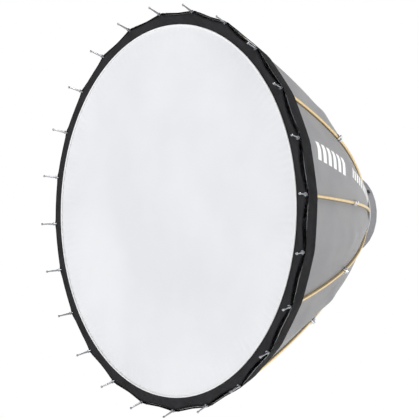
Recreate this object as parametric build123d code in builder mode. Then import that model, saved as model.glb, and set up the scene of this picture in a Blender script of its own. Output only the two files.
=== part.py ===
"""A deep parabolic softbox with an umbrella frame: 24 hinged ribs, a grey shell,
a front cover and a lamp ring on a focusing tube. Millimetres, +Z up, front along -Y.
The origin is the centre of the hub's rear face, where the stand bracket bolts on."""
from build123d import *
import os
from math import atan2, cos, hypot, radians, sin

os.makedirs("parts", exist_ok=True)

# ribs: the rim, the knuckle and the pivot that each rib's centre line passes
rib_count = 24
rib_step = 360 / rib_count
rim_r = 790.0
rim_y = -1000.0
knuckle_r = 528.0
knuckle_y = -482.0
pivot_r = 165.0
pivot_y = -12.0
front_bow = 9.0
rear_bow = 17.0
rod_r = 4.0
rod_gap = 0.1

# rib fittings
eye_r = 7.0
eye_width = 11.0
eye_hole_r = 2.05
tongue_length = 26.0
knuckle_length = 30.0
knuckle_sleeve_r = 8.5
ferrule_r = 5.5
ferrule_length = 16.0
flange_tip_r = 7.0
flange_tip_thickness = 2.5
pin_base_r = 4.3
pin_r = 2.6
tip_length = 66.0
ball_r = 5.0

# fabric
cloth = 2.0
cloth_gap = 0.4
shell_offset = 9.5
shell_end_y = -22.0
shell_marks = (-994.0, -740.0, knuckle_y, -310.0, -150.0, shell_end_y)
diffuser_r = 746.0
border_inner_r = 753.2
border_outer_r = 782.0
trim_front_y = -997.0
trim_rear_y = -921.0
trim_offset = 9.0
collar_r = 174.0
collar_front_y = -11.0
collar_rear_y = 30.0

# hub
plate_r = 172.0
plate_thickness = 16.0
cover_plate_r = 152.0
cover_plate_thickness = 4.0
slot_inner_r = 156.0
slot_width = 12.0
window_r = 26.0
window_ring_r = 105.0
window_count = 6
pivot_pin_r = 2.0
pivot_pin_length = 24.0
bracket_ring_r = 65.0
bracket_hole_r = 3.3
bracket_count = 4

# focusing tube and its clamp
tube_r = 18.0
tube_wall = 2.0
tube_front_y = -430.0
tube_rear_y = 26.0
slide_fit = 0.05
bushing_wall = 2.95
bushing_front_y = -58.0
bushing_rear_y = 4.0
boss_r = 30.0
boss_front_y = -60.0
boss_rear_y = 24.0
flange_r = 46.0
flange_thickness = 8.0
knob_y = 13.0
knob_stem_r = 4.0
knob_head_r = 12.0
knob_head_height = 18.0
knob_lift = 4.0
knob_tip_gap = 0.3
knob_grip_count = 6
knob_grip_r = 4.0
knob_grip_offset = 2.0
knob_edge_r = 1.0
cap_plug_length = 10.0

# lamp ring, its cage and its insert
ring_front_y = -564.0
ring_thickness = 12.0
ring_outer_r = 100.0
ring_inner_r = 76.0
arm_count = 3
arm_width = 16.0
arm_thickness = 5.0
arm_r = 93.0
cage_rear_y = -452.0
cage_boss_r = 24.0
cage_boss_length = 50.0
cage_boss_lap = 25.0
arm_root_lap = 4.0
arm_root_rear = 3.0
arm_root_front = 11.0
foot_thickness = 4.0
foot_inset = 2.0
insert_sleeve_r = 48.5
insert_bore_r = 44.0
insert_front_y = -576.0
insert_flange_thickness = 6.0
insert_flange_lap = 3.0
insert_gap = 0.2
lug_r = 51.5
lug_length = 4.0
lug_width = 16.0
latch_r = 88.0
latch_pin_r = 2.5
latch_length = 34.0
latch_thickness = 4.0
latch_gap = 1.0
latch_eye_r = 8.0
latch_bar_width = 9.0
latch_tip_r = 6.0
latch_button_r = 4.0
latch_button_height = 8.0
latch_arm_length = 32.0
latch_arm_width = 8.0
latch_head_gap = 0.5
latch_head_r = 4.5
latch_head_height = 2.0
foot_screw_r = 82.5
thumb_screw_r = 2.5
thumb_head_r = 4.5
thumb_head_height = 7.0
thumb_head_lift = 1.0
screw_end_gap = 2.0

# screws
screw_r = 2.0
screw_hole_r = 2.1
screw_head_r = 3.8
screw_head_height = 2.6
cover_screw_ring_r = 145.0
cover_screw_count = 8
flange_screw_ring_r = 38.0
flange_screw_count = 4


def save(part, name):
    part.label = name
    export_step(part, f"parts/{name}.step")


def facing(y):
    """Plane across the axis at y, looking forward, so that extrusions run towards the front."""
    return Plane.XZ.offset(-y)


def turn(number, count=rib_count):
    """Angle about +Y from the top to place number of count, in degrees."""
    return (number - 1) * 360 / count


def bowed(start, end, bow):
    """Middle point, as (y, r), of an arc from start to end that bows away from the axis."""
    run, rise = end[0] - start[0], end[1] - start[1]
    length = hypot(run, rise)
    y = (start[0] + end[0]) / 2 - bow * rise / length
    r = (start[1] + end[1]) / 2 + bow * run / length
    return (y, r)


rim = (rim_y, rim_r)
knuckle = (knuckle_y, knuckle_r)
pivot = (pivot_y, pivot_r)
front_line = Edge.make_three_point_arc(
    (0, *rim), (0, *bowed(rim, knuckle, front_bow)), (0, *knuckle)
)
rear_line = Edge.make_three_point_arc(
    (0, *knuckle), (0, *bowed(knuckle, pivot, rear_bow)), (0, *pivot)
)


def rib_point(y, offset=0.0):
    """Point (y, r) beside a rib's centre line where it passes y; offset is away from the axis."""
    start, end, bow = (rim, knuckle, front_bow) if y <= knuckle_y else (knuckle, pivot, rear_bow)
    run, rise = end[0] - start[0], end[1] - start[1]
    length = hypot(run, rise)
    radius = (length**2 / 4 + bow**2) / (2 * bow)
    crown = bowed(start, end, bow)
    centre = (crown[0] + radius * rise / length, crown[1] - radius * run / length)
    lean = (y - centre[0]) / radius
    upright = (1 - lean**2) ** 0.5
    return (y + offset * lean, centre[1] + (radius + offset) * upright)


def bead(line, start, end, radius):
    """Round bar along line between two shares of its length, added to the open part."""
    span = line.trim(start, end)
    with BuildSketch(Plane(origin=span @ 0, z_dir=span % 0)) as section:
        Circle(radius)
    sweep(sections=section.sketch, path=span)


def band(near, far, inner, outer):
    """Outline of a strip of cloth from y near to y far, between two offsets from the ribs."""
    return [rib_point(near, outer), rib_point(far, outer), rib_point(far, inner), rib_point(near, inner)]


def facet(outlines):
    """Flat plates between two neighbouring ribs, centred on the top.
    Each outline is the plate's section (y, r) at the ribs."""
    half = radians(rib_step / 2)
    with BuildPart() as wedge:
        with BuildSketch(Plane.YZ):
            for outline in outlines:
                Polygon(*[(y, r * cos(half)) for y, r in outline], align=None)
        extrude(amount=rim_r * sin(half) * 1.2, both=True)
        for side in (-1, 1):
            outward = Vector(side * cos(half), 0, -sin(half))
            cut = Plane(origin=outward * (-cloth_gap / 2), z_dir=outward)
            split(bisect_by=cut, keep=Keep.BOTTOM)
    return wedge.part


def ring_of(shape, count):
    """Copies of shape, count of them, evenly about the axis."""
    with BuildPart() as ring:
        for number in range(1, count + 1):
            add(shape, rotation=(0, turn(number, count) + 180 / count, 0))
    return ring.part


# one rib, at the top: foot, rear rod, knuckle, front rod and tip
def make_rib():
    foot_share = 1 - tongue_length / rear_line.length
    rear_gap = rod_gap / rear_line.length
    front_gap = rod_gap / front_line.length
    with BuildPart() as rib:
        with Locations(Location((0, *pivot), (0, 90, 0))):
            Cylinder(eye_r, eye_width)
        bead(rear_line, foot_share, 1, rod_r)
        with Locations(Location((0, *pivot), (0, 90, 0))):
            Cylinder(eye_hole_r, 2 * eye_width, mode=Mode.SUBTRACT)
        bead(
            rear_line,
            knuckle_length / 2 / rear_line.length + rear_gap,
            foot_share - rear_gap,
            rod_r,
        )
        along = (front_line % 1 + rear_line % 0).normalized()
        with BuildSketch(Plane(origin=front_line @ 1, z_dir=along)):
            Circle(knuckle_sleeve_r)
        extrude(amount=knuckle_length / 2, both=True)
        bead(
            front_line,
            ferrule_length / 2 / front_line.length + front_gap,
            1 - knuckle_length / 2 / front_line.length - front_gap,
            rod_r,
        )
        # the tip is turned: a ferrule, a thin flange and a tapered pin with a ball on its end
        outward = (front_line % 0) * -1
        base = front_line @ 0 - outward * (ferrule_length / 2)
        ball_centre = tip_length + ferrule_length / 2 - ball_r
        neck = ball_centre - (ball_r**2 - pin_r**2) ** 0.5
        flange_end = ferrule_length + flange_tip_thickness
        with BuildSketch(Plane(origin=base, x_dir=outward, z_dir=(1, 0, 0))):
            with BuildLine():
                Polyline(
                    (neck, pin_r),
                    (flange_end, pin_base_r),
                    (flange_end, flange_tip_r),
                    (ferrule_length, flange_tip_r),
                    (ferrule_length, ferrule_r),
                    (0, ferrule_r),
                    (0, 0),
                    (ball_centre + ball_r, 0),
                )
                ThreePointArc((neck, pin_r), (ball_centre, ball_r), (ball_centre + ball_r, 0))
            make_face()
        revolve(axis=Axis(base, outward))
    return rib.part


def make_ribs():
    one_rib = make_rib()
    for number in range(1, rib_count + 1):
        with BuildPart() as rib:
            add(one_rib, rotation=(0, turn(number), 0))
        save(rib.part, f"rib_{number:02d}")


# shell: a panel of flat facets either side of every second rib, just inside the rods,
# with the black trim that passes outside the rods at its front edge
def make_shell_panels():
    marks = shell_marks
    outlines = [
        band(near + cloth_gap / 2, far - cloth_gap / 2, -shell_offset - cloth, -shell_offset)
        for near, far in zip(marks, marks[1:])
    ]
    outlines.append(band(trim_front_y, trim_rear_y, trim_offset, trim_offset + cloth))
    gore = facet(outlines)
    for number in range(1, rib_count + 1, 2):
        with BuildPart() as panel:
            add(gore, rotation=(0, turn(number) - rib_step / 2, 0))
            add(gore, rotation=(0, turn(number) + rib_step / 2, 0))
        save(panel.part, f"shell_panel_{number:02d}")


# front cover: white disc and black border, hooked on the rib tips
def make_front_cover():
    with BuildPart() as diffuser_sheet:
        with BuildSketch(facing(rim_y)):
            Circle(diffuser_r)
        extrude(amount=cloth)
    save(diffuser_sheet.part, "diffuser_sheet")
    front, back = rim_y - cloth, rim_y
    border = facet(
        [
            [
                (front, border_inner_r),
                (front, border_outer_r),
                (back, border_outer_r),
                (back, border_inner_r),
            ]
        ]
    )
    save(ring_of(border, rib_count), "cover_border")


# rear collar: a short fabric tube round the hub
def make_collar():
    outer = collar_r + cloth
    outline = [
        (collar_front_y, collar_r),
        (collar_rear_y, collar_r),
        (collar_rear_y, outer),
        (collar_front_y, outer),
    ]
    save(ring_of(facet([outline]), rib_count), "rear_collar")


# hub: slotted plate, rear cover plate, pivot pins and screws
def hub_holes():
    """Holes that the hub plate and its cover share, cut in the open sketch."""
    Circle(boss_r + cloth_gap, mode=Mode.SUBTRACT)
    with PolarLocations(bracket_ring_r, bracket_count, start_angle=45):
        Circle(bracket_hole_r, mode=Mode.SUBTRACT)
    with PolarLocations(cover_screw_ring_r, cover_screw_count, start_angle=22.5):
        Circle(screw_hole_r, mode=Mode.SUBTRACT)


def pin_places():
    return [
        Location((0, 0, 0), (0, turn(number), 0)) * Location((0, *pivot), (0, 90, 0))
        for number in range(1, rib_count + 1)
    ]


def make_hub():
    slot_length = plate_r - slot_inner_r + slot_width
    with BuildPart() as hub_plate:
        with BuildSketch(facing(-cover_plate_thickness)):
            Circle(plate_r)
            hub_holes()
            with PolarLocations(slot_inner_r + slot_length / 2, rib_count):
                Rectangle(slot_length, slot_width, mode=Mode.SUBTRACT)
            with PolarLocations(window_ring_r, window_count):
                Circle(window_r, mode=Mode.SUBTRACT)
            with PolarLocations(flange_screw_ring_r, flange_screw_count, start_angle=45):
                Circle(screw_hole_r, mode=Mode.SUBTRACT)
        extrude(amount=plate_thickness)
        with Locations(*pin_places()):
            Cylinder(eye_hole_r, pivot_pin_length + rod_gap, mode=Mode.SUBTRACT)
    save(hub_plate.part, "hub_plate")

    with BuildPart() as hub_cover:
        with BuildSketch(facing(0)):
            Circle(cover_plate_r)
            hub_holes()
        extrude(amount=cover_plate_thickness)
    save(hub_cover.part, "hub_cover")

    with BuildPart() as pivot_pins:
        with Locations(*pin_places()):
            Cylinder(pivot_pin_r, pivot_pin_length)
    save(pivot_pins.part, "pivot_pins")

    plate_front_y = -cover_plate_thickness - plate_thickness
    flange_front_y = plate_front_y - flange_thickness
    with BuildPart() as hub_screws:
        with BuildSketch(facing(screw_head_height)):
            with PolarLocations(cover_screw_ring_r, cover_screw_count, start_angle=22.5):
                Circle(screw_head_r)
        extrude(amount=screw_head_height)
        with BuildSketch(facing(0)):
            with PolarLocations(cover_screw_ring_r, cover_screw_count, start_angle=22.5):
                Circle(screw_r)
        extrude(amount=cover_plate_thickness + plate_thickness / 2)
        with BuildSketch(facing(flange_front_y)):
            with PolarLocations(flange_screw_ring_r, flange_screw_count, start_angle=45):
                Circle(screw_head_r)
        extrude(amount=screw_head_height)
        with BuildSketch(facing(flange_front_y)):
            with PolarLocations(flange_screw_ring_r, flange_screw_count, start_angle=45):
                Circle(screw_r)
        extrude(amount=-flange_thickness - plate_thickness / 2)
    save(hub_screws.part, "hub_screws")
    return plate_front_y


# clamp on the hub that the focusing tube slides through, with its lock knob
def make_clamp(plate_front_y):
    bore_r = tube_r + slide_fit + bushing_wall
    with BuildPart() as tube_clamp:
        with BuildSketch(facing(boss_rear_y)):
            Circle(boss_r)
        extrude(amount=boss_rear_y - boss_front_y)
        with BuildSketch(facing(plate_front_y)):
            Circle(flange_r)
            with PolarLocations(flange_screw_ring_r, flange_screw_count, start_angle=45):
                Circle(screw_hole_r, mode=Mode.SUBTRACT)
        extrude(amount=flange_thickness)
        with BuildSketch(facing(boss_rear_y)):
            Circle(bore_r)
        extrude(amount=boss_rear_y - boss_front_y, mode=Mode.SUBTRACT)
        with BuildSketch(Plane(origin=(0, knob_y, 0))):
            Circle(knob_stem_r + rod_gap)
        extrude(amount=boss_r + 1, mode=Mode.SUBTRACT)
    save(tube_clamp.part, "tube_clamp")

    with BuildPart() as clamp_bushing:
        with BuildSketch(facing(bushing_rear_y)):
            Circle(bore_r - slide_fit)
            Circle(tube_r + slide_fit, mode=Mode.SUBTRACT)
        extrude(amount=bushing_rear_y - bushing_front_y)
    save(clamp_bushing.part, "clamp_bushing")

    head_z = boss_r + knob_lift
    with BuildPart() as lock_knob:
        with BuildSketch(Plane(origin=(0, knob_y, tube_r + knob_tip_gap))):
            Circle(knob_stem_r)
        extrude(amount=head_z - tube_r)
        with BuildSketch(Plane(origin=(0, knob_y, head_z))):
            Circle(knob_head_r)
            with PolarLocations(knob_head_r + knob_grip_offset, knob_grip_count):
                Circle(knob_grip_r, mode=Mode.SUBTRACT)
        extrude(amount=knob_head_height)
        fillet(lock_knob.faces().sort_by(Axis.Z)[-1].edges(), knob_edge_r)
    save(lock_knob.part, "lock_knob")


# focusing tube with its end cap and the three-arm cage that carries the lamp ring
def make_carriage():
    with BuildPart() as focus_tube:
        with BuildSketch(facing(tube_rear_y)):
            Circle(tube_r)
            Circle(tube_r - tube_wall, mode=Mode.SUBTRACT)
        extrude(amount=tube_rear_y - tube_front_y)
    save(focus_tube.part, "focus_tube")

    with BuildPart() as tube_cap:
        with BuildSketch(facing(collar_rear_y)):
            Circle(tube_r)
        extrude(amount=collar_rear_y - tube_rear_y)
        with BuildSketch(facing(tube_rear_y)):
            Circle(tube_r - tube_wall - rod_gap)
        extrude(amount=cap_plug_length)
    save(tube_cap.part, "tube_cap")

    ring_rear_y = ring_front_y + ring_thickness
    boss_back_y = tube_front_y + cage_boss_lap
    with BuildPart() as arm:
        with BuildSketch(Plane.YZ):
            inner_r = arm_r - arm_thickness
            Polygon(
                (tube_front_y - arm_root_rear, cage_boss_r - arm_root_lap),
                (cage_rear_y, arm_r),
                (ring_rear_y, arm_r),
                (ring_rear_y, ring_inner_r + foot_inset),
                (ring_rear_y + foot_thickness, ring_inner_r + foot_inset),
                (ring_rear_y + foot_thickness, inner_r),
                (cage_rear_y - foot_thickness, inner_r),
                (tube_front_y - arm_root_front, cage_boss_r - arm_root_lap),
                align=None,
            )
        extrude(amount=arm_width / 2, both=True)
    with BuildPart() as lamp_cage:
        with BuildSketch(facing(boss_back_y)):
            Circle(cage_boss_r)
        extrude(amount=cage_boss_length)
        for number in range(1, arm_count + 1):
            add(arm.part, rotation=(0, turn(number, arm_count), 0))
        with BuildSketch(facing(boss_back_y)):
            Circle(tube_r + slide_fit)
        extrude(amount=boss_back_y - tube_front_y + 1, mode=Mode.SUBTRACT)
        with BuildSketch(facing(ring_rear_y + foot_thickness)):
            with PolarLocations(foot_screw_r, arm_count, start_angle=90):
                Circle(screw_hole_r)
        extrude(amount=foot_thickness, mode=Mode.SUBTRACT)
    save(lamp_cage.part, "lamp_cage")
    return ring_rear_y


def thumb_screw_places():
    middle = ring_front_y + ring_thickness / 2
    return [
        Plane(origin=(0, middle, 0), z_dir=(sin(radians(a)), 0, cos(radians(a))))
        for a in (60, 180, 300)
    ]


# lamp ring: outer ring, bayonet insert, screws and the sprung latch
def make_lamp_ring(ring_rear_y):
    with BuildPart() as lamp_ring:
        with BuildSketch(facing(ring_rear_y)):
            Circle(ring_outer_r)
            Circle(ring_inner_r, mode=Mode.SUBTRACT)
            with PolarLocations(foot_screw_r, arm_count, start_angle=90):
                Circle(screw_hole_r, mode=Mode.SUBTRACT)
            with Locations((latch_r, 0)):
                Circle(latch_pin_r + rod_gap, mode=Mode.SUBTRACT)
        extrude(amount=ring_thickness)
        for place in thumb_screw_places():
            with BuildSketch(place):
                Circle(thumb_screw_r + rod_gap)
            extrude(amount=ring_outer_r + 5, mode=Mode.SUBTRACT)
    save(lamp_ring.part, "lamp_ring")

    flange_front_y = ring_front_y + insert_flange_lap
    with BuildPart() as bayonet_insert:
        with BuildSketch(facing(flange_front_y + insert_flange_thickness)):
            Circle(ring_inner_r - insert_gap)
        extrude(amount=insert_flange_thickness)
        with BuildSketch(facing(flange_front_y)):
            Circle(insert_sleeve_r)
        extrude(amount=flange_front_y - insert_front_y)
        with BuildSketch(facing(insert_front_y + lug_length)):
            with PolarLocations(lug_r - lug_length / 2, arm_count, start_angle=30):
                Rectangle(lug_length, lug_width)
        extrude(amount=lug_length)
        with BuildSketch(facing(flange_front_y + insert_flange_thickness)):
            Circle(insert_bore_r)
        extrude(amount=flange_front_y + insert_flange_thickness - insert_front_y, mode=Mode.SUBTRACT)
    save(bayonet_insert.part, "bayonet_insert")

    with BuildPart() as ring_screws:
        with BuildSketch(facing(ring_rear_y + foot_thickness + screw_head_height)):
            with PolarLocations(foot_screw_r, arm_count, start_angle=90):
                Circle(screw_head_r)
        extrude(amount=screw_head_height)
        with BuildSketch(facing(ring_rear_y + foot_thickness)):
            with PolarLocations(foot_screw_r, arm_count, start_angle=90):
                Circle(screw_r)
        extrude(amount=foot_thickness + ring_thickness - screw_end_gap)
        for place in thumb_screw_places():
            with BuildSketch(place.offset(ring_inner_r + insert_gap)):
                Circle(thumb_screw_r)
            extrude(amount=ring_outer_r - ring_inner_r + thumb_head_lift)
            with BuildSketch(place.offset(ring_outer_r + thumb_head_lift)):
                Circle(thumb_head_r)
            extrude(amount=thumb_head_height)
    save(ring_screws.part, "ring_screws")

    latch_rear_y = ring_front_y - latch_gap
    with BuildPart() as latch_lever:
        with BuildSketch(facing(latch_rear_y)):
            with Locations((latch_r, 0)):
                Circle(latch_eye_r)
            with Locations((latch_r, latch_length / 2)):
                Rectangle(latch_bar_width, latch_length)
            with Locations((latch_r, latch_length)):
                Circle(latch_tip_r)
            with Locations((latch_r - latch_arm_length / 2, 0)):
                Rectangle(latch_arm_length, latch_arm_width)
            with Locations((latch_r, 0)):
                Circle(latch_pin_r + slide_fit, mode=Mode.SUBTRACT)
        extrude(amount=latch_thickness)
        with BuildSketch(facing(latch_rear_y - latch_thickness)):
            with Locations((latch_r, latch_length)):
                Circle(latch_button_r)
        extrude(amount=latch_button_height)
    save(latch_lever.part, "latch_lever")

    head_rear_y = latch_rear_y - latch_thickness - latch_head_gap
    with BuildPart() as latch_pin:
        with BuildSketch(facing(ring_front_y + ring_thickness - screw_end_gap)):
            with Locations((latch_r, 0)):
                Circle(latch_pin_r)
        extrude(amount=ring_front_y + ring_thickness - screw_end_gap - head_rear_y)
        with BuildSketch(facing(head_rear_y)):
            with Locations((latch_r, 0)):
                Circle(latch_head_r)
        extrude(amount=latch_head_height)
    save(latch_pin.part, "latch_pin")


make_ribs()
make_shell_panels()
make_front_cover()
make_collar()
hub_front_y = make_hub()
make_clamp(hub_front_y)
lamp_ring_rear_y = make_carriage()
make_lamp_ring(lamp_ring_rear_y)
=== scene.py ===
from math import cos, exp, hypot, pi, radians, sin, sqrt, tan

import bmesh
import bpy
from mathutils import Matrix, Vector


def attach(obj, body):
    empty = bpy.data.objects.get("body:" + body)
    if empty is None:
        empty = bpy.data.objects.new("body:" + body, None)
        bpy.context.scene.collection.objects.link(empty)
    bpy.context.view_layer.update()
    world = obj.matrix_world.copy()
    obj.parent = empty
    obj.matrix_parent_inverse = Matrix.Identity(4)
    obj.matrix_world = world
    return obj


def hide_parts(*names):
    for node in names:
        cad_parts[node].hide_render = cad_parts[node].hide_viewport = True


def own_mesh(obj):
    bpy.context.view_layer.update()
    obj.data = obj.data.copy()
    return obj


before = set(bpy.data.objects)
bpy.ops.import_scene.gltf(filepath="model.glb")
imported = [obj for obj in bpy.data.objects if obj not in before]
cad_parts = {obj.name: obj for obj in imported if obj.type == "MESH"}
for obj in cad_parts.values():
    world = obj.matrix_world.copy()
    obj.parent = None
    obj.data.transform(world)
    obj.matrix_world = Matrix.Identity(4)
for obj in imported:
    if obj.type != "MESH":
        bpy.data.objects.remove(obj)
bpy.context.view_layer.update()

# sizes in metres, in the row frame
rib_count = 24
half_step = pi / rib_count
rim = (-1.0, 0.79)
knuckle = (-0.482, 0.528)
pivot = (-0.012, 0.165)
front_bow = 0.009
rear_bow = 0.017
knuckle_half = 0.015

shell_front_y = -0.992
shell_rear_y = -0.0125
shell_split_y = -0.300
cloth = 0.0012
trim_front_y = -1.001
trim_rear_y = -0.921
diffuser_r = 0.7380
border_inner_r = 0.7400
cover_y = -1.002
sleeve_r = 0.0060
collar_front_y = -0.024
collar_rear_y = 0.030
collar_r = 0.1752
seam_r = 0.1788

plain_lift = 0.0048
outer_lift = -0.0052
plain_softness = 0.32
outer_softness = 0.10
hollow_share = 0.0045
front_length = 0.793
rear_length = 0.385

corner_r = 0.7905
border_sag = 0.0065
floor_z = -1.18
floor_r = 3.2


def rib_point(y, offset=0.0):
    """Point (y, r) beside a rib's centre line where it passes y; offset is away from the axis."""
    start, end, bow = (rim, knuckle, front_bow) if y <= knuckle[0] else (knuckle, pivot, rear_bow)
    run, rise = end[0] - start[0], end[1] - start[1]
    length = hypot(run, rise)
    radius = (length**2 / 4 + bow**2) / (2 * bow)
    crown = ((start[0] + end[0]) / 2 - bow * rise / length, (start[1] + end[1]) / 2 + bow * run / length)
    centre = (crown[0] + radius * rise / length, crown[1] - radius * run / length)
    lean = (y - centre[0]) / radius
    upright = sqrt(max(1 - lean**2, 0))
    return y + offset * lean, centre[1] + (radius + offset) * upright


def rib_angle(number):
    """Angle from the top, towards +X, of a rib."""
    return (number - 1) * 2 * half_step


def place(angle, y, r, side=0.0):
    """Point at radius r on the ray at angle, moved sideways across it."""
    return Vector((r * sin(angle) + side * cos(angle), y, r * cos(angle) - side * sin(angle)))


def along_rib(start_y, end_y, share):
    """y at a share of the way from start_y to end_y."""
    return start_y + (end_y - start_y) * share


def smoothstep(low, high, value):
    x = min(max((value - low) / (high - low), 0), 1)
    return x * x * (3 - 2 * x)


# ---------------------------------------------------------------- materials


def linear(code):
    """sRGB hex to linear RGBA."""
    parts = [int(code[i : i + 2], 16) / 255 for i in (1, 3, 5)]
    return tuple(p / 12.92 if p <= 0.04045 else ((p + 0.055) / 1.055) ** 2.4 for p in parts) + (1,)


def add(tree, kind, inputs=None, **settings):
    """Adds a node with its settings; an input is a value or another node's socket."""
    made = tree.nodes.new(kind)
    for name, value in settings.items():
        setattr(made, name, value)
    for name, value in (inputs or {}).items():
        if isinstance(value, bpy.types.NodeSocket):
            tree.links.new(value, made.inputs[name])
        else:
            made.inputs[name].default_value = value
    return made


def finish_of(name, **values):
    """A material with one Principled shader set to values, its node tree and the shader."""
    material = bpy.data.materials.new(name)
    material.use_nodes = True
    tree = material.node_tree
    shader = tree.nodes["Principled BSDF"]
    for key, value in values.items():
        shader.inputs[key.replace("_", " ")].default_value = value
    return material, tree, shader


def bands_per(spacing):
    """Wave Texture scale that puts its bands this far apart, in metres."""
    return 2 * pi / (20 * spacing)


def mottled(tree, where, low, high, scale):
    """Colour that drifts between two shades at a noise's scale."""
    noise = add(tree, "ShaderNodeTexNoise", {"Vector": where, "Scale": scale, "Detail": 3.0})
    ramp = add(tree, "ShaderNodeValToRGB", {"Fac": noise.outputs["Fac"]})
    ramp.color_ramp.elements[0].position, ramp.color_ramp.elements[1].position = 0.35, 0.65
    ramp.color_ramp.elements[0].color = linear(low)
    ramp.color_ramp.elements[1].color = linear(high)
    return ramp.outputs["Color"]


def weave(tree, where, spacing):
    """Height of a plain weave: two sets of threads, the given distance apart."""
    scale = bands_per(spacing)
    warp = add(tree, "ShaderNodeTexWave", {"Vector": where, "Scale": scale}, bands_direction="X")
    weft = add(tree, "ShaderNodeTexWave", {"Vector": where, "Scale": scale}, bands_direction="Y")
    both = add(tree, "ShaderNodeMath", {0: warp.outputs["Fac"], 1: weft.outputs["Fac"]}, operation="MULTIPLY")
    return both.outputs[0]


def cloth_finish(name, low, high, spacing, depth, drift=6.0, **values):
    """A woven cloth on its own UV map, laid out in metres."""
    material, tree, shader = finish_of(name, **values)
    where = add(tree, "ShaderNodeTexCoord").outputs["UV"]
    threads = weave(tree, where, spacing)
    shade = mottled(tree, add(tree, "ShaderNodeTexCoord").outputs["Object"], low, high, drift)
    dim = add(tree, "ShaderNodeMapRange", {"Value": threads, "To Min": 0.90, "To Max": 1.04})
    tinted = add(tree, "ShaderNodeVectorMath", {0: shade, "Scale": dim.outputs[0]}, operation="SCALE")
    tree.links.new(tinted.outputs[0], shader.inputs["Base Color"])
    bump = add(tree, "ShaderNodeBump", {"Height": threads, "Distance": depth, "Strength": 0.6})
    tree.links.new(bump.outputs["Normal"], shader.inputs["Normal"])
    return material


def metal_finish(name, low, high, grit, rough, **values):
    """A metal whose shade and roughness drift at the scale of its surface grain."""
    material, tree, shader = finish_of(name, Metallic=1.0, **values)
    where = add(tree, "ShaderNodeTexCoord").outputs["Object"]
    shade = mottled(tree, where, low, high, 1 / grit)
    tree.links.new(shade, shader.inputs["Base Color"])
    grain = add(tree, "ShaderNodeTexNoise", {"Vector": where, "Scale": 1 / grit, "Detail": 2.0})
    gloss = add(tree, "ShaderNodeMapRange", {"Value": grain.outputs["Fac"], "To Min": rough[0], "To Max": rough[1]})
    tree.links.new(gloss.outputs[0], shader.inputs["Roughness"])
    bump = add(tree, "ShaderNodeBump", {"Height": grain.outputs["Fac"], "Distance": 0.00005, "Strength": 0.4})
    tree.links.new(bump.outputs["Normal"], shader.inputs["Normal"])
    return material


# Coated ripstop nylon: an even mid grey with a satin bloom; its 0.4 mm weave is drawn at 3 mm to show.
shell_nylon = cloth_finish(
    "shell_coated_nylon", "#7E7E81", "#878789", 0.003, 0.0002, Roughness=0.48, Sheen_Weight=0.12, Sheen_Roughness=0.4
)
# Silver lining: the same nylon's aluminised inner face, bright and softly creased.
silver_lining = cloth_finish(
    "silver_lining", "#C6C7CA", "#DADBDE", 0.003, 0.0002, drift=25.0, Roughness=0.35, Metallic=0.6
)
# Plain black nylon of the trim: near black, matt, its coarse weave catching a little light.
trim_nylon = cloth_finish(
    "trim_black_nylon", "#141416", "#202022", 0.0026, 0.0006, drift=18.0, Roughness=0.85, Specular_IOR_Level=0.15
)
# Black polyester border: a little greyer and smoother than the trim.
border_polyester = cloth_finish(
    "border_black_polyester", "#222224", "#2B2B2E", 0.002, 0.0003, drift=14.0, Roughness=0.8, Specular_IOR_Level=0.2
)
# Diffuser: thin white polyester, bluish white and dead matt, with a barely visible weave.
diffuser_polyester = cloth_finish(
    "diffuser_white_polyester", "#EDEEF2", "#F5F6F9", 0.002, 0.0001, drift=2.2, Roughness=0.85
)
# White satin piping: a bright stitched cord that edges the diffuser.
piping_satin = cloth_finish("white_satin_piping", "#FAFAFB", "#FFFFFF", 0.0012, 0.0001, drift=30.0, Roughness=0.5)
# Seam tape: light grey polyester binding over the shell's raw edges.
seam_tape = cloth_finish("light_grey_seam_tape", "#C4C4C6", "#CFCFD1", 0.0012, 0.0002, drift=30.0, Roughness=0.6)
# Collar nylon: the shell's cloth doubled, a shade darker.
collar_nylon = cloth_finish(
    "collar_grey_nylon", "#7C7C80", "#858589", 0.003, 0.0003, drift=12.0, Roughness=0.6, Sheen_Weight=0.2
)
# Screen print: flat white ink, a little rubbery.
white_ink = cloth_finish("white_screen_print", "#EDEDEE", "#F8F8F8", 0.003, 0.00005, drift=30.0, Roughness=0.45)
# Gold-anodised tube: satin, warm brown where it mirrors the dark and pale gold where it mirrors light.
gold_anodised = metal_finish("gold_anodised_tube", "#ECCD94", "#F6DEAA", 0.012, (0.28, 0.38))
# Drawn aluminium: satin grey, faint lengthwise shade changes.
drawn_aluminium = metal_finish("drawn_aluminium", "#B9BABD", "#CBCCCE", 0.008, (0.3, 0.42))
# Bead-blasted clear-anodised aluminium: soft light grey without sharp reflections.
blasted_aluminium = metal_finish("blasted_anodised_aluminium", "#A4A6A9", "#B4B6B9", 0.0015, (0.42, 0.55))
# Polished chrome plate of the knuckle bands: small sharp highlights.
chrome = metal_finish("polished_chrome_plate", "#D8D9DB", "#E8E8EA", 0.01, (0.08, 0.16))
# Nickel-plated steel of the ribs and their pins: grey, with a softer highlight than the chrome.
nickel = metal_finish("nickel_plated_steel", "#9C9EA2", "#AEB0B4", 0.006, (0.12, 0.22))
# Zinc-plated steel: cool and slightly cloudy.
zinc_steel = metal_finish("zinc_plated_steel", "#A9ABAE", "#BFC1C4", 0.002, (0.28, 0.4))
# Turned aluminium: a bright ring, finely machined.
turned_aluminium = metal_finish("turned_aluminium", "#BFC1C4", "#CDCFD1", 0.001, (0.22, 0.34))


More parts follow.
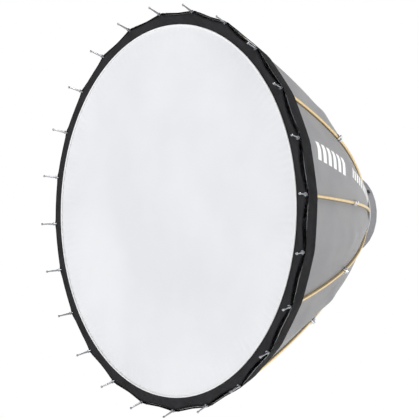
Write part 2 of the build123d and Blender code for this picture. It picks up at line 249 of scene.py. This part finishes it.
def dielectric_finish(name, low, high, grit, depth, **values):
    """A moulded or coated surface: shade and bump at the scale of its grit."""
    material, tree, shader = finish_of(name, **values)
    where = add(tree, "ShaderNodeTexCoord").outputs["Object"]
    tree.links.new(mottled(tree, where, low, high, 1 / (8 * grit)), shader.inputs["Base Color"])
    grain = add(tree, "ShaderNodeTexNoise", {"Vector": where, "Scale": 1 / grit, "Detail": 2.0})
    bump = add(tree, "ShaderNodeBump", {"Height": grain.outputs["Fac"], "Distance": depth, "Strength": 0.5})
    tree.links.new(bump.outputs["Normal"], shader.inputs["Normal"])
    return material


# Powder-coated casting: matt black with a fine orange peel.
powder_coat = dielectric_finish("black_powder_coat", "#1B1B1D", "#242426", 0.0012, 0.0002, Roughness=0.6)
# Moulded glass-filled nylon: black, spark-eroded texture.
moulded_black = dielectric_finish("moulded_black_nylon", "#18181A", "#202022", 0.0008, 0.0001, Roughness=0.5)
# Machined acetal: milky white, slightly waxy.
white_acetal = dielectric_finish("machined_white_acetal", "#DEDEDA", "#E9E9E5", 0.002, 0.00005, Roughness=0.38)
# Woven black webbing of the small pull tab.
tab_webbing = dielectric_finish("black_webbing", "#1C1C1E", "#2B2B2D", 0.0015, 0.0004, Roughness=0.8)
# Painted studio floor: plain, pale and matt.
studio_white = dielectric_finish("studio_white_paint", "#FBFBFB", "#FFFFFF", 0.01, 0.0001, Roughness=0.9)


# ---------------------------------------------------------------- making pieces


def piece_from(bm, name, *materials):
    mesh = bpy.data.meshes.new(name)
    bm.to_mesh(mesh)
    bm.free()
    for material in materials:
        mesh.materials.append(material)
    for face in mesh.polygons:
        face.use_smooth = True
    mesh.set_sharp_from_angle(angle=radians(50))
    piece = bpy.data.objects.new(name, mesh)
    bpy.context.scene.collection.objects.link(piece)
    return piece


def sheet_mesh(across, along, shape, flat):
    """A grid whose points go where shape(t, s) says, with flat(t, s) as its UV map in metres.
    t runs from -1 to 1 across and s from 0 to 1 along."""
    bm = bmesh.new()
    uv = bm.loops.layers.uv.new("UVMap")
    bmesh.ops.create_grid(bm, x_segments=across, y_segments=along, size=1)
    for face in bm.faces:
        for loop in face.loops:
            loop[uv].uv = flat(loop.vert.co.x, (loop.vert.co.y + 1) / 2)
    for vert in bm.verts:
        vert.co = shape(vert.co.x, (vert.co.y + 1) / 2)
    return bm


def face_away(bm, outward):
    """Turns every face so that it looks along outward(centre)."""
    bm.normal_update()
    wrong = [f for f in bm.faces if f.normal.dot(outward(f.calc_center_median())) < 0]
    bmesh.ops.reverse_faces(bm, faces=wrong)


def thicken(bm, thickness, inner_material=0):
    """Gives a sheet its thickness; the face that looks the other way takes another material."""
    outer = {tuple(round(c, 7) for c in f.calc_center_median()) for f in bm.faces}
    bmesh.ops.solidify(bm, geom=bm.faces[:], thickness=thickness)
    bm.normal_update()
    for face in bm.faces:
        if tuple(round(c, 7) for c in face.calc_center_median()) not in outer:
            face.material_index = inner_material


def tube_mesh(points, radius, sides):
    """A round tube along points, with its length on the UV map's v."""
    bm = bmesh.new()
    uv = bm.loops.layers.uv.new("UVMap")
    rows = len(points) - 1
    bmesh.ops.create_grid(bm, x_segments=sides, y_segments=rows, size=1)
    run = [0.0]
    for a, b in zip(points, points[1:]):
        run.append(run[-1] + (b - a).length)
    frames = []
    normal = None
    for i, point in enumerate(points):
        ahead = (points[min(i + 1, rows)] - points[max(i - 1, 0)]).normalized()
        if normal is None:
            normal = ahead.orthogonal().normalized()
        normal = (normal - ahead * normal.dot(ahead)).normalized()
        frames.append((point, normal, ahead.cross(normal)))
    for face in bm.faces:
        for loop in face.loops:
            row = round((loop.vert.co.y + 1) / 2 * rows)
            loop[uv].uv = ((loop.vert.co.x + 1) * pi * radius, run[row])
    for vert in bm.verts:
        row = round((vert.co.y + 1) / 2 * rows)
        angle = (vert.co.x + 1) * pi
        point, side, up = frames[row]
        vert.co = point + (side * cos(angle) + up * sin(angle)) * radius
    bmesh.ops.remove_doubles(bm, verts=bm.verts, dist=radius * 0.02)
    bmesh.ops.holes_fill(bm, edges=[e for e in bm.edges if e.is_boundary], sides=0)
    bmesh.ops.recalc_face_normals(bm, faces=bm.faces)
    return bm


def join_into(target, bm_other, material_index):
    """Adds another mesh to a bmesh, with its faces on one material."""
    for face in bm_other.faces:
        face.material_index = material_index
    scratch = bpy.data.meshes.new("scratch")
    bm_other.to_mesh(scratch)
    bm_other.free()
    target.from_mesh(scratch)
    bpy.data.meshes.remove(scratch)


# ---------------------------------------------------------------- shell


def coloured(number):
    """Every second rib runs outside the shell, in a gold tube; the others run inside it."""
    return number % 2 == 1


def gore_point(number, t, y, rib_offset, middle_offset, sag, softness):
    """Point of cloth stretched from a rib to the line half way to the next one."""
    rib_y, rib_r = rib_point(y, rib_offset)
    mid_y, mid_r = rib_point(y, middle_offset)
    reach = (sqrt(t * t + softness**2) - softness) / (sqrt(1 + softness**2) - softness)
    chord = mid_r * cos(half_step)
    up = rib_r + (chord * cos(half_step) - rib_r) * reach
    side = chord * sin(half_step) * t
    dip = sag * (1 - (1 - abs(t)) ** 2)
    away = half_step * t
    up -= dip * cos(away)
    side -= dip * sin(away)
    return place(rib_angle(number), rib_y + (mid_y - rib_y) * reach, up, side)


def knuckle_swell(y):
    """How far the cloth rises over the knuckle of a rib inside it."""
    return 0.0048 * exp(-(((y - knuckle[0]) / 0.045) ** 2))


def make_gore(number, part, start_y, end_y, rows, length):
    lift = outer_lift if coloured(number) else plain_lift
    softness = outer_softness if coloured(number) else plain_softness

    def shape(t, s):
        y = along_rib(start_y, end_y, s)
        width = rib_point(y)[1]
        over = 0.0 if coloured(number) else knuckle_swell(y)
        # under the trim the cloth rises over the rib and lies against it
        rise = 1 - smoothstep(-0.965, -0.932, y)
        offset = lift + over + (0.0054 - lift) * rise
        return gore_point(number, t, y, offset, 0.0040 * rise, hollow_share * width * (1 - rise), softness)

    def flat(t, s):
        return rib_point(along_rib(start_y, end_y, s))[1] * tan(half_step) * t, start_y + s * length

    bm = sheet_mesh(14, rows, shape, flat)
    outward = place(rib_angle(number), -0.4, 1.0).normalized()
    face_away(bm, lambda centre: outward)
    thicken(bm, cloth, inner_material=1)
    gore = piece_from(bm, f"shell_{part}_{number:02d}", shell_nylon, silver_lining)
    ride_folding(gore, number)
    widths = [rib_point(along_rib(start_y, end_y, (i + 0.5) / 40))[1] for i in range(40)]
    widest = 2 * rib_point(start_y)[1] * tan(half_step)
    return gore


def ride_folding(piece, number):
    """The piece goes with its rib."""
    body = f"rib_{number:02d}"
    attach(piece, body)
    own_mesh(piece)


def make_trim(number):
    def shape(t, s):
        y = along_rib(trim_front_y, trim_rear_y, s)
        slack = 0.003 * (1 - s) * (1 - (1 - abs(t)) ** 2)
        crease = 0.0011 * sin(22 * t + 5 * s) * exp(-((abs(t) - 0.18) / 0.16) ** 2) * (1 - 0.6 * s)
        y += 0.0035 * (1 - s) * (1 - (1 - abs(t)) ** 2)
        return gore_point(number, t, y, 0.0086 + crease, 0.0110 - slack, 0.0, 0.16)

    def flat(t, s):
        return 0.104 * t, s * 0.09

    bm = sheet_mesh(28, 12, shape, flat)
    outward = place(rib_angle(number), -0.4, 1.0).normalized()
    face_away(bm, lambda centre: outward)
    thicken(bm, 0.0016)
    trim = piece_from(bm, f"trim_band_{number:02d}", trim_nylon)
    ride_folding(trim, number)
    return trim


for number in range(1, rib_count + 1):
    make_gore(number, "front", shell_front_y, shell_split_y, 50, front_length)
    make_gore(number, "rear", shell_split_y, shell_rear_y, 22, rear_length)
for number in range(1, rib_count + 1):
    make_trim(number)
for number in range(1, rib_count + 1, 2):
    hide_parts(f"shell_panel_{number:02d}")


# gold tubes over the outer ribs, in two lengths with the knuckle between them
def make_gold_tubes(number):
    angle = rib_angle(number)
    spans = {
        "front": (trim_rear_y - 0.004, knuckle[0] - knuckle_half - 0.001),
        "rear": (knuckle[0] + knuckle_half * 0.8, -0.020),
    }
    steps = 40
    for end, (start_y, end_y) in spans.items():
        points = [place(angle, *rib_point(along_rib(start_y, end_y, i / steps))) for i in range(steps + 1)]
        bm = tube_mesh(points, sleeve_r, sides=14)
        tube = piece_from(bm, f"gold_tube_{end}_{number:02d}", gold_anodised)
        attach(tube, f"rib_{number:02d}")


for number in range(1, rib_count + 1, 2):
    make_gold_tubes(number)


def round_new_edges(bm, before, offset):
    """Bevels the sharp edges of everything made since before, a set of vertices."""
    edges = {edge for vert in set(bm.verts) - before for edge in vert.link_edges}
    sharp = [edge for edge in edges if len(edge.link_faces) == 2 and edge.calc_face_angle() > 1]
    bmesh.ops.bevel(bm, geom=sharp, offset=offset, segments=2, profile=0.5, material=-1, affect="EDGES")


# knuckle trim: two chrome bands and a locking screw on every outer knuckle
def make_knuckle_trim(number):
    angle = rib_angle(number)
    near = Vector((0, *rib_point(knuckle[0] - 0.01)))
    far = Vector((0, *rib_point(knuckle[0] + 0.01)))
    along = (far - near).normalized()
    centre = Vector((0, *rib_point(knuckle[0])))
    turn = along.to_track_quat("Z", "X").to_matrix().to_4x4()
    upright = Matrix.Translation(centre) @ turn
    bm = bmesh.new()
    for shift in (-0.0125, 0.0125):
        before = set(bm.verts)
        bmesh.ops.create_cone(
            bm, cap_ends=True, segments=24, radius1=0.0122, radius2=0.0122, depth=0.006,
            matrix=upright @ Matrix.Translation((0, 0, shift)),
        )
        round_new_edges(bm, before, 0.0012)
    outward = Vector((0, -along.z, along.y))
    if outward.z < 0:
        outward.negate()
    screw = Matrix.Translation(centre + outward * 0.0125) @ outward.to_track_quat("Z", "Y").to_matrix().to_4x4()
    before = set(bm.verts)
    bmesh.ops.create_cone(bm, cap_ends=True, segments=16, radius1=0.0060, radius2=0.0052, depth=0.010, matrix=screw)
    round_new_edges(bm, before, 0.0006)
    bmesh.ops.rotate(bm, verts=bm.verts, cent=(0, 0, 0), matrix=Matrix.Rotation(angle, 3, "Y"))
    bands = piece_from(bm, f"knuckle_bands_{number:02d}", chrome)
    for face in bands.data.polygons:
        face.use_smooth = False
    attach(bands, f"rib_{number:02d}")


for number in range(1, rib_count + 1, 2):
    make_knuckle_trim(number)


# two rows of plain printed bars along the sixth rib
def make_bars(name, start_y, end_y, count, half_width, shift):
    """Upright bars of white ink on a plain gore, evenly spaced along its rib."""
    number = 6
    ink_gap = 0.0006
    bm = bmesh.new()
    pitch = (end_y - start_y) / count
    for i in range(count):
        before = set(bm.verts)
        bmesh.ops.create_grid(bm, x_segments=10, y_segments=3, size=1)
        for vert in set(bm.verts) - before:
            across, along = vert.co.x, vert.co.y
            y = start_y + pitch * (i + 0.5 + 0.30 * along)
            side = (shift + half_width * across) / (rib_point(y)[1] * tan(half_step))
            lift = plain_lift + knuckle_swell(y) + ink_gap
            vert.co = gore_point(number, side, y, lift, ink_gap, hollow_share * rib_point(y)[1], plain_softness)
    uv = bm.loops.layers.uv.new("UVMap")
    for face in bm.faces:
        for loop in face.loops:
            loop[uv].uv = (loop.vert.co.x, loop.vert.co.y)
    outward = place(rib_angle(number), -0.4, 1.0).normalized()
    face_away(bm, lambda centre: outward)
    thicken(bm, 0.0004)
    bars = piece_from(bm, name, white_ink)
    ride_folding(bars, number)


make_bars("print_bars_large", -0.860, -0.545, 6, 0.036, 0.012)
make_bars("print_bars_small", -0.480, -0.075, 10, 0.019, 0.014)


# ---------------------------------------------------------------- front cover


def ride_cover(piece):
    """The piece goes with the front cover."""
    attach(piece, "front_cover")
    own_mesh(piece)


def border_outer(t):
    """Outer radius of the border: a hollow curve from pin to pin, with a small tip at each pin."""
    chord = corner_r * cos(half_step) / cos(half_step * (1 - abs(t)))
    return chord - border_sag * (1 - (1 - abs(t)) ** 2) + 0.0030 * exp(-((t / 0.05) ** 2))


def make_diffuser(number):
    angle = rib_angle(number)

    def shape(t, s):
        r = diffuser_r * s
        pucker = 0.0007 * cos(6 * pi * t) * smoothstep(0.82, 1.0, s)
        hollow = 0.004 * (1 - s * s)
        return place(angle + half_step * t, cover_y + 0.001 + hollow + pucker, r)

    def flat(t, s):
        return diffuser_r * s * sin(angle + half_step * t), diffuser_r * s * cos(angle + half_step * t)

    bm = sheet_mesh(24, 40, shape, flat)
    bmesh.ops.remove_doubles(bm, verts=bm.verts, dist=1e-6)
    face_away(bm, lambda centre: Vector((0, -1, 0)))
    thicken(bm, 0.0008)
    arc = [place(angle + half_step * (i / 12 - 1), cover_y - 0.0016, diffuser_r + 0.001) for i in range(25)]
    join_into(bm, tube_mesh(arc, 0.0030, sides=10), 1)
    disc = piece_from(bm, f"diffuser_{number:02d}", diffuser_polyester, piping_satin)
    ride_cover(disc)
    return disc


def make_border(number):
    angle = rib_angle(number)

    def shape(t, s):
        outer = border_outer(t)
        r = border_inner_r + (outer - border_inner_r) * s
        billow = 0.0080 * (1 - (1 - abs(t)) ** 2) * s * s
        turned = 0.0022 * smoothstep(0.86, 1.0, s)
        fold = 0.0008 * sin(3 * pi * s) * cos(4 * pi * t)
        return place(angle + half_step * t, cover_y + 0.001 - billow + turned + fold, r)

    def flat(t, s):
        return 0.104 * t, 0.052 * s

    bm = sheet_mesh(60, 12, shape, flat)
    face_away(bm, lambda centre: Vector((0, -1, 0)))
    thicken(bm, 0.0014)
    edge = []
    for i in range(61):
        t = i / 30 - 1
        edge.append(shape(t, 0.985))
    join_into(bm, tube_mesh(edge, 0.0019, sides=8), 1)
    ring = piece_from(bm, f"border_{number:02d}", border_polyester, trim_nylon)
    ride_cover(ring)
    return ring


discs = {number: make_diffuser(number) for number in range(1, rib_count + 1)}
borders = {number: make_border(number) for number in range(1, rib_count + 1)}
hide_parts("diffuser_sheet")
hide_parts("cover_border")


# ---------------------------------------------------------------- rear collar


def make_collar():
    def shape(t, s):
        around = pi * t
        y = collar_front_y + (collar_rear_y - collar_front_y) * s
        nearest = (around / (2 * half_step)) % 1
        edge = min(nearest, 1 - nearest) * 2
        flat_r = collar_r - 0.0010 * (1 - (1 - edge) ** 2) + 0.0008 * sin(3 * around) * s
        inwards = 0.016 * (1 - smoothstep(0.0, 0.26, s)) ** 1.5
        flare = 0.0030 * (1 - s) - inwards + 0.0014 * exp(-((s - 0.97) / 0.03) ** 2)
        return place(around, y, flat_r + flare)

    def flat(t, s):
        return 0.558 * t, 0.056 * s

    bm = sheet_mesh(192, 14, shape, flat)
    bmesh.ops.remove_doubles(bm, verts=bm.verts, dist=1e-6)
    face_away(bm, lambda centre: Vector((centre.x, 0, centre.z)))
    thicken(bm, 0.002)
    collar = piece_from(bm, "collar_cuff", collar_nylon)
    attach(collar, "hub")
    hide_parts("rear_collar")
    seam = [place(2 * pi * i / 144, collar_front_y + 0.0065, seam_r) for i in range(145)]
    tape = piece_from(tube_mesh(seam, 0.0030, sides=8), "collar_seam", seam_tape)
    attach(tape, "hub")
    return collar


collar = make_collar()


def make_pull_tab():
    bm = bmesh.new()
    bmesh.ops.create_cube(bm, size=1, matrix=Matrix.Diagonal((0.014, 0.016, 0.003, 1)))
    bmesh.ops.bevel(bm, geom=bm.edges[:], offset=0.001, segments=2, profile=0.5, material=-1, affect="EDGES")
    bmesh.ops.translate(bm, verts=bm.verts, vec=(0, collar_front_y + 0.020, 0.1835))
    bmesh.ops.rotate(bm, verts=bm.verts, cent=(0, 0, 0), matrix=Matrix.Rotation(radians(62), 3, "Y"))
    tab = piece_from(bm, "pull_tab", tab_webbing)
    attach(tab, "hub")


make_pull_tab()


# ---------------------------------------------------------------- finishes of the frame's own nodes

finishes = {
    "hub_plate": blasted_aluminium,
    "hub_cover": blasted_aluminium,
    "pivot_pins": zinc_steel,
    "hub_screws": zinc_steel,
    "tube_clamp": powder_coat,
    "clamp_bushing": white_acetal,
    "focus_tube": drawn_aluminium,
    "tube_cap": moulded_black,
    "lamp_cage": powder_coat,
    "lamp_ring": powder_coat,
    "bayonet_insert": turned_aluminium,
    "ring_screws": zinc_steel,
    "latch_pin": zinc_steel,
    "latch_lever": zinc_steel,
    "lock_knob": moulded_black,
    "rear_collar": collar_nylon,
    "diffuser_sheet": diffuser_polyester,
    "cover_border": border_polyester,
}
for number in range(1, rib_count + 1):
    finishes[f"rib_{number:02d}"] = nickel
    if coloured(number):
        finishes[f"shell_panel_{number:02d}"] = shell_nylon
for name, material in finishes.items():
    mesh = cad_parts[name].data
    mesh.materials.clear()
    mesh.materials.append(material)


# ---------------------------------------------------------------- studio


def make_floor():
    """A round white floor under the object."""
    bm = bmesh.new()
    at = Matrix.Translation((0, -0.5, floor_z))
    bmesh.ops.create_circle(bm, cap_ends=True, segments=96, radius=floor_r, matrix=at)
    bmesh.ops.recalc_face_normals(bm, faces=bm.faces)
    face_away(bm, lambda centre: Vector((0, 0, 1)))
    floor = piece_from(bm, "studio_floor", studio_white)
    # a faint glow keeps the floor white in the object's own shade
    shader = studio_white.node_tree.nodes["Principled BSDF"]
    shader.inputs["Emission Color"].default_value = linear("#FFFFFF")
    shader.inputs["Emission Strength"].default_value = 0.35


make_floor()


def make_light(name, place_at, aim, size, watts):
    lamp = bpy.data.lights.new(name, "AREA")
    lamp.shape = "RECTANGLE"
    lamp.size, lamp.size_y = size
    lamp.energy = watts
    light = bpy.data.objects.new(name, lamp)
    light.location = place_at
    light.rotation_euler = (Vector(aim) - Vector(place_at)).to_track_quat("-Z", "Y").to_euler()
    bpy.context.scene.collection.objects.link(light)
    return light


make_light("key_left", (-4.5, -6.5, 0.8), (0, -1, 0), (3.0, 3.0), 140)
make_light("top_right", (2.6, -0.6, 3.2), (0.3, -0.6, 0.4), (2.2, 2.2), 125)
make_light("low_rear", (2.4, 1.2, -0.8), (0.4, -0.5, -0.1), (1.4, 1.4), 7)

world = bpy.data.worlds.new("studio")
world.use_nodes = True
tree = world.node_tree
# white all round at eye level, dimmer overhead
direction = add(tree, "ShaderNodeTexCoord").outputs["Generated"]
up = add(tree, "ShaderNodeSeparateXYZ", {"Vector": direction}).outputs["Z"]
falloff = {"Value": up, "From Min": 0.23, "From Max": 0.42, "To Min": 1.0, "To Max": 0.2}
level = add(tree, "ShaderNodeMapRange", falloff)
tree.links.new(level.outputs[0], tree.nodes["Background"].inputs["Strength"])
tree.nodes["Background"].inputs["Color"].default_value = linear("#FFFFFF")
bpy.context.scene.world = world


def make_camera():
    azimuth, elevation, roll = radians(51.0536), radians(-3.8066), radians(-2.0235)
    distance = 5.646
    back = Vector((sin(azimuth) * cos(elevation), -cos(azimuth) * cos(elevation), sin(elevation)))
    right = (-back).cross(Vector((0, 0, 1))).normalized()
    up = right.cross(-back)
    rolled_right = right * cos(roll) + up * sin(roll)
    rolled_up = up * cos(roll) - right * sin(roll)
    data = bpy.data.cameras.new("camera")
    data.sensor_width = 36
    data.lens = 121.74
    data.shift_x, data.shift_y = 0.0993, 0.0043
    camera = bpy.data.objects.new("camera", data)
    matrix = Matrix((rolled_right, rolled_up, back)).transposed().to_4x4()
    matrix.translation = Vector((0, -1.0, 0)) + back * distance
    camera.matrix_world = matrix
    bpy.context.scene.collection.objects.link(camera)
    bpy.context.scene.camera = camera


make_camera()
bpy.context.scene.view_settings.view_transform = "Standard"
